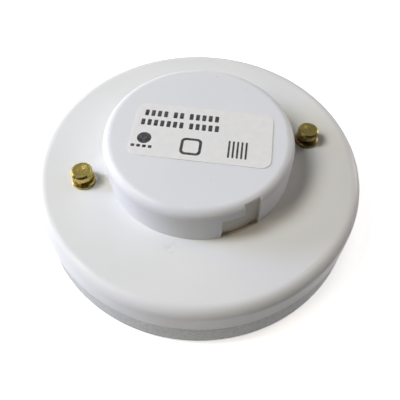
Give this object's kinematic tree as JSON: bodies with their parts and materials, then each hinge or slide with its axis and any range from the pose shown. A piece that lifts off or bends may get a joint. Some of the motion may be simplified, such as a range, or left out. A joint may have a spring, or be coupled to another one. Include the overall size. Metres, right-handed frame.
{
  "type": "led disc lamp",
  "caption": "Round flat LED lamp with a frosted lens cup, a central keyed boss and two mushroom contact pins on its back.",
  "frame": {"origin": "centre of the flat lens face, on the lamp axis", "axes": "+Z along the lamp axis, from the lens face to the boss; +X from the lamp axis to the right contact pin"},
  "size_m": [0.075, 0.075, 0.0254],
  "materials": {
    "housing": "satin",
    "lens": "frosted",
    "brass": "turned",
    "label": "matte",
    "led_board": "solder mask",
    "led": "moulded",
    "screw": "zinc plated",
    "driver_board": "solder mask",
    "tinned": "tinned",
    "film": "dipped",
    "can": "sleeve",
    "epoxy": "moulded",
    "fuse_body": "lacquered",
    "resistor_body": "lacquered",
    "lead_white": "extruded",
    "lead_red": "extruded",
    "lead_black": "extruded"
  },
  "bodies": {
    "root": {"base_housing": "housing", "bleeder_resistor": "resistor_body", "board_screw_1": "screw", "board_screw_2": "screw", "board_screw_3": "screw", "bridge_rectifier": "epoxy", "contact_pin_left": "brass", "contact_pin_right": "brass", "driver_board": "driver_board", "electrolytic_capacitor": "can", "film_capacitor": "film", "fusible_resistor": "fuse_body", "led_01": "led", "led_02": "led", "led_03": "led", "led_04": "led", "led_05": "led", "led_06": "led", "led_07": "led", "led_08": "led", "led_09": "led", "led_10": "led", "led_11": "led", "led_12": "led", "led_13": "led", "led_14": "led", "led_15": "led", "led_16": "led", "led_17": "led", "led_18": "led", "led_19": "led", "led_20": "led", "led_21": "led", "led_22": "led", "led_23": "led", "led_24": "led", "led_25": "led", "led_26": "led", "led_27": "led", "led_28": "led", "led_29": "led", "led_30": "led", "led_31": "led", "led_32": "led", "led_33": "led", "led_34": "led", "led_35": "led", "led_36": "led", "led_board": "led_board", "lens_cover": "lens", "output_lead_negative": "lead_black", "output_lead_positive": "lead_red", "pin_nut_left": "tinned", "pin_nut_right": "tinned", "rating_label": "label", "solder_tag_left": "tinned", "solder_tag_right": "tinned", "supply_lead_left": "lead_white", "supply_lead_right": "lead_white"}
  },
  "joints": []
}
